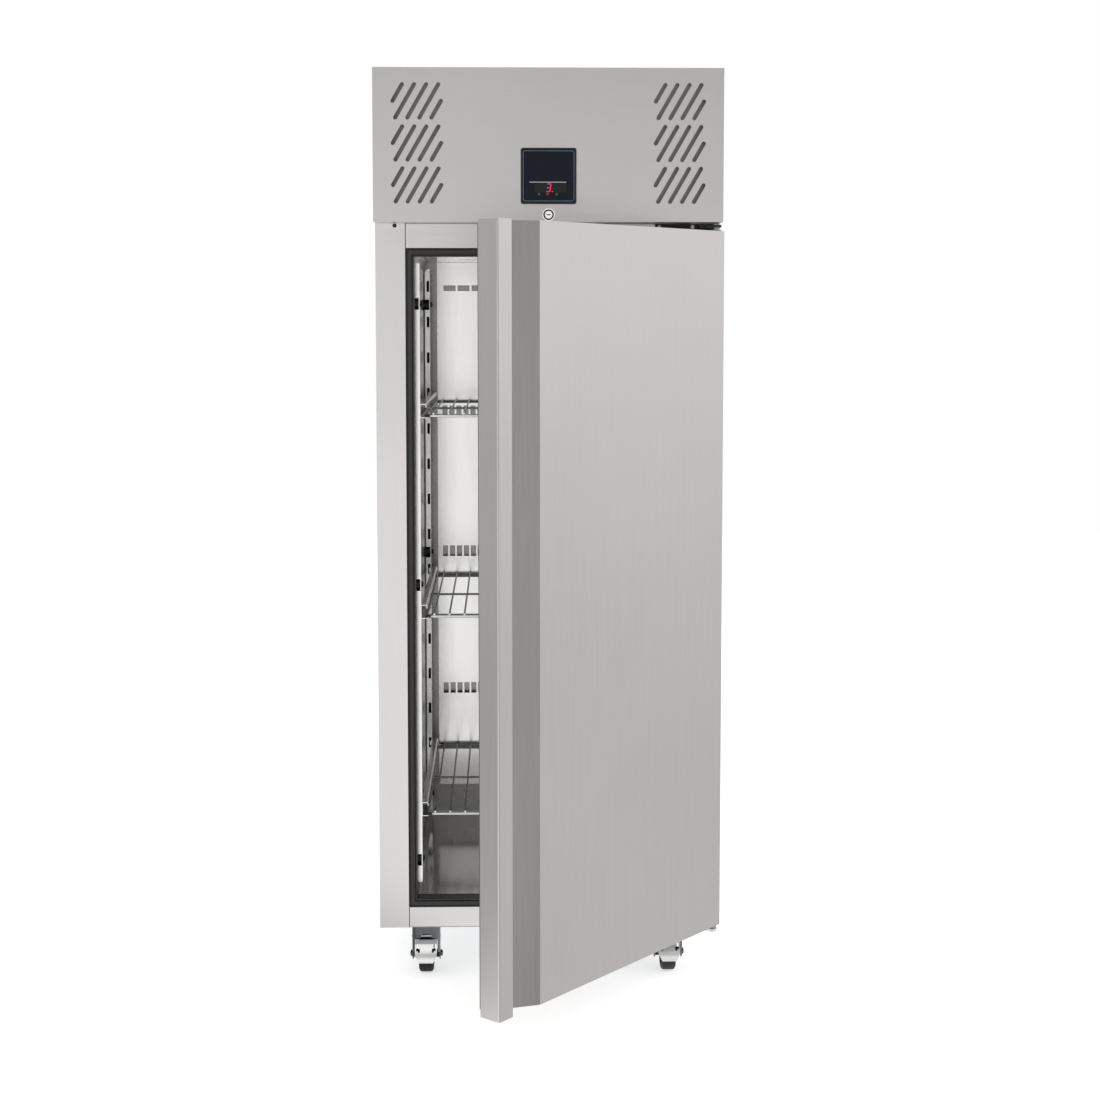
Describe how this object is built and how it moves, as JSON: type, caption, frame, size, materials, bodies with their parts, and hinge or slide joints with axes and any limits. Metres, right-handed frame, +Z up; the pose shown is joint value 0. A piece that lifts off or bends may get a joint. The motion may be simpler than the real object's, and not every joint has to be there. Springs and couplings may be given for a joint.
{
  "type": "upright storage refrigerator",
  "caption": "Upright stainless steel cabinet fridge on castors with a side-hinged door, wire shelves and a top-mounted cooling unit behind a vented header.",
  "frame": {"origin": "on the floor, at the centre of the plan of the product with its door open as at rest; X = 0 is the middle of the cabinet", "axes": "+X to the right seen from the front, +Y from the front to the back, +Z up"},
  "size_m": [0.7342, 1.3597, 1.96],
  "materials": {
    "brushed_steel": "brushed stainless steel",
    "bright_steel": "bright annealed stainless steel",
    "galvanised_steel": "galvanised sheet",
    "foam": null,
    "dark_plastic": "dark ABS strip",
    "black_plastic": "black moulded plastic",
    "gloss_face": "glossy polycarbonate",
    "chrome": "polished chrome",
    "zinc": "bright zinc plating",
    "hinge_black": "black-painted cast steel",
    "white_panel": "white satin sheet",
    "housing_plastic": "light grey moulding",
    "coil_aluminium": "aluminium fins",
    "coil_black": "black enamel",
    "motor_black": "black enamel",
    "compressor_black": "black enamel",
    "copper": "bare copper tube",
    "seal_rubber": "soft PVC seal",
    "grey_plastic": "grey nylon",
    "plated_wire": "bright plated steel wire",
    "fan_metal": "pressed aluminium",
    "wheel_rubber": "black rubber on a nylon hub",
    "pedal": "bright plated steel"
  },
  "bodies": {
    "cabinet": {"side_panel_left": "brushed_steel", "side_panel_right": "brushed_steel", "back_panel": "galvanised_steel", "base_pan": "galvanised_steel", "deck_panel": "galvanised_steel", "front_rails": "brushed_steel", "foam_left": "foam", "foam_right": "foam", "foam_back": "foam", "foam_floor": "foam", "foam_ceiling": "foam", "liner": "bright_steel", "breaker_frame": "dark_plastic", "header_panel": "brushed_steel", "controller_case": "black_plastic", "controller_face": "gloss_face", "lock_barrel": "chrome", "hole_plug": "black_plastic", "hinge_brackets": "hinge_black", "hinge_pins": "zinc", "hinge_screws": "zinc", "uprights": "bright_steel", "liner_studs": "black_plastic", "tray_slides": "bright_steel", "duct_panel": "white_panel", "evaporator_housing": "housing_plastic", "evaporator_coil": "coil_aluminium", "evaporator_motor": "motor_black", "compressor": "compressor_black", "condenser_coil": "coil_black", "fan_shroud": "black_plastic", "condenser_motor": "motor_black", "refrigerant_pipes": "copper", "electrics_box": "housing_plastic", "castor_plates": "zinc"},
    "door": {"door_skin": "brushed_steel", "door_foam": "foam", "door_liner": "white_panel", "door_gasket": "seal_rubber", "door_caps": "grey_plastic", "hinge_bushes": "grey_plastic"},
    "lock": {"lock_plug": "chrome"},
    "key_left": {"key_left": "black_plastic"},
    "key_middle": {"key_middle": "black_plastic"},
    "key_right": {"key_right": "black_plastic"},
    "shelf_low": {"shelf_low_wire": "plated_wire"},
    "shelf_middle": {"shelf_middle_wire": "plated_wire"},
    "shelf_top": {"shelf_top_wire": "plated_wire"},
    "condenser_fan": {"condenser_fan": "fan_metal"},
    "evaporator_fan": {"evaporator_fan": "fan_metal"},
    "castor_front_left": {"castor_fork_front_left": "zinc"},
    "wheel_front_left": {"wheel_front_left": "wheel_rubber"},
    "castor_front_right": {"castor_fork_front_right": "zinc"},
    "wheel_front_right": {"wheel_front_right": "wheel_rubber"},
    "castor_rear_left": {"castor_fork_rear_left": "zinc"},
    "wheel_rear_left": {"wheel_rear_left": "wheel_rubber"},
    "castor_rear_right": {"castor_fork_rear_right": "zinc"},
    "wheel_rear_right": {"wheel_rear_right": "wheel_rubber"},
    "pedal_left": {"brake_pedal_left": "pedal"},
    "pedal_right": {"brake_pedal_right": "pedal"}
  },
  "joints": [
    {"name": "door_swing", "type": "hinge", "parent": "cabinet", "child": "door", "pos_m": [0.352, -0.12852, 0.86], "axis": [0, 0, 1], "range_deg": [-49.3, 60.7]},
    {"name": "lock_turn", "type": "hinge", "parent": "cabinet", "child": "lock", "pos_m": [0, -0.13352, 1.657], "axis": [0, -1, 0], "range_deg": [0, 90]},
    {"name": "key_left_press", "type": "slide", "parent": "cabinet", "child": "key_left", "axis": [0, 1, 0], "range_m": [0, 0.0008], "stiffness_N_per_m": 800},
    {"name": "key_middle_press", "type": "slide", "parent": "cabinet", "child": "key_middle", "axis": [0, 1, 0], "range_m": [0, 0.0008], "stiffness_N_per_m": 800},
    {"name": "key_right_press", "type": "slide", "parent": "cabinet", "child": "key_right", "axis": [0, 1, 0], "range_m": [0, 0.0008], "stiffness_N_per_m": 800},
    {"name": "shelf_low_slide", "type": "slide", "parent": "cabinet", "child": "shelf_low", "axis": [0, -1, 0], "range_m": [0, 0.09]},
    {"name": "shelf_middle_slide", "type": "slide", "parent": "cabinet", "child": "shelf_middle", "axis": [0, -1, 0], "range_m": [0, 0.09]},
    {"name": "shelf_top_slide", "type": "slide", "parent": "cabinet", "child": "shelf_top", "axis": [0, -1, 0], "range_m": [0, 0.09]},
    {"name": "condenser_fan_spin", "type": "hinge", "parent": "cabinet", "child": "condenser_fan", "pos_m": [0.185, 0.01748, 1.763], "axis": [0, 1, 0], "continuous": true},
    {"name": "evaporator_fan_spin", "type": "hinge", "parent": "cabinet", "child": "evaporator_fan", "pos_m": [0, 0.50648, 1.738], "axis": [0, 1, 0], "continuous": true},
    {"name": "castor_front_left_swivel", "type": "hinge", "parent": "cabinet", "child": "castor_front_left", "pos_m": [-0.267, 0.01148, 0.1107], "axis": [0, 0, 1], "continuous": true},
    {"name": "wheel_front_left_spin", "type": "hinge", "parent": "castor_front_left", "child": "wheel_front_left", "pos_m": [-0.267, -0.01652, 0.04], "axis": [1, 0, 0], "continuous": true},
    {"name": "castor_front_right_swivel", "type": "hinge", "parent": "cabinet", "child": "castor_front_right", "pos_m": [0.267, 0.01148, 0.1107], "axis": [0, 0, 1], "continuous": true},
    {"name": "wheel_front_right_spin", "type": "hinge", "parent": "castor_front_right", "child": "wheel_front_right", "pos_m": [0.267, -0.01652, 0.04], "axis": [1, 0, 0], "continuous": true},
    {"name": "castor_rear_left_swivel", "type": "hinge", "parent": "cabinet", "child": "castor_rear_left", "pos_m": [-0.267, 0.58548, 0.1107], "axis": [0, 0, 1], "continuous": true},
    {"name": "wheel_rear_left_spin", "type": "hinge", "parent": "castor_rear_left", "child": "wheel_rear_left", "pos_m": [-0.267, 0.55748, 0.04], "axis": [1, 0, 0], "continuous": true},
    {"name": "castor_rear_right_swivel", "type": "hinge", "parent": "cabinet", "child": "castor_rear_right", "pos_m": [0.267, 0.58548, 0.1107], "axis": [0, 0, 1], "continuous": true},
    {"name": "wheel_rear_right_spin", "type": "hinge", "parent": "castor_rear_right", "child": "wheel_rear_right", "pos_m": [0.267, 0.55748, 0.04], "axis": [1, 0, 0], "continuous": true},
    {"name": "brake_left_press", "type": "hinge", "parent": "castor_front_left", "child": "pedal_left", "pos_m": [-0.267, -0.03252, 0.084], "axis": [1, 0, 0], "range_deg": [0, 11]},
    {"name": "brake_right_press", "type": "hinge", "parent": "castor_front_right", "child": "pedal_right", "pos_m": [0.267, -0.03252, 0.084], "axis": [1, 0, 0], "range_deg": [0, 11]}
  ]
}
